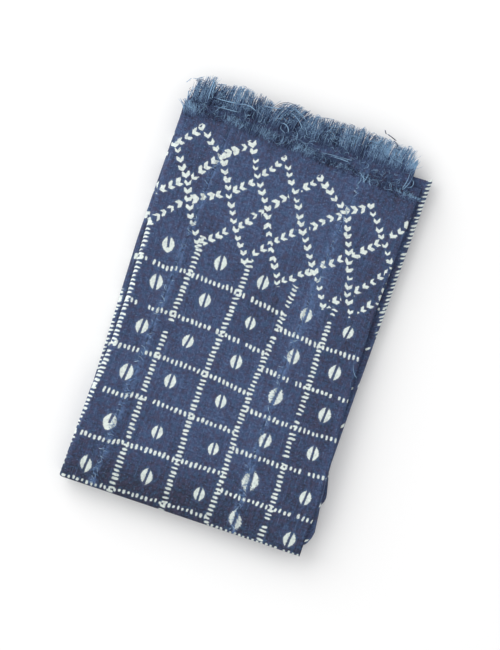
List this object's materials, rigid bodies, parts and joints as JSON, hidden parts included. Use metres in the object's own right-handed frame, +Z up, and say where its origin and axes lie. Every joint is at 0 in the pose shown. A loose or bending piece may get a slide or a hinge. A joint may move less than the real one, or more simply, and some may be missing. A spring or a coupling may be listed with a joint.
{
  "type": "folded indigo cloth",
  "caption": "Indigo cotton cloth of narrow woven strips with frayed ends, folded into a flat packet with resist-dyed marks.",
  "frame": {"origin": "middle of the flat face that the folded packet rests on", "axes": "+Z up out of the surface it lies on, +Y towards the frayed ends, +X towards the top leaf's selvedge"},
  "size_m": [0.265, 0.4268, 0.025],
  "materials": {
    "indigo_weave": "dry hand-woven cotton, dyed in indigo, with white resist marks",
    "frayed_yarn": "loose spun cotton yarn, lighter indigo"
  },
  "bodies": {
    "root": {"strip_1": "indigo_weave", "strip_2": "indigo_weave", "strip_3": "indigo_weave", "strip_4": "indigo_weave", "strip_5": "indigo_weave", "strip_6": "indigo_weave", "strip_7": "indigo_weave", "strip_8": "indigo_weave", "strip_1_fringe_a": "frayed_yarn", "strip_2_fringe_a": "frayed_yarn", "strip_3_fringe_a": "frayed_yarn", "strip_4_fringe_a": "frayed_yarn", "strip_5_fringe_a": "frayed_yarn", "strip_6_fringe_a": "frayed_yarn", "strip_7_fringe_a": "frayed_yarn", "strip_8_fringe_a": "frayed_yarn", "strip_1_fringe_b": "frayed_yarn", "strip_2_fringe_b": "frayed_yarn", "strip_3_fringe_b": "frayed_yarn", "strip_4_fringe_b": "frayed_yarn", "strip_5_fringe_b": "frayed_yarn", "strip_6_fringe_b": "frayed_yarn", "strip_7_fringe_b": "frayed_yarn", "strip_8_fringe_b": "frayed_yarn"}
  },
  "joints": []
}
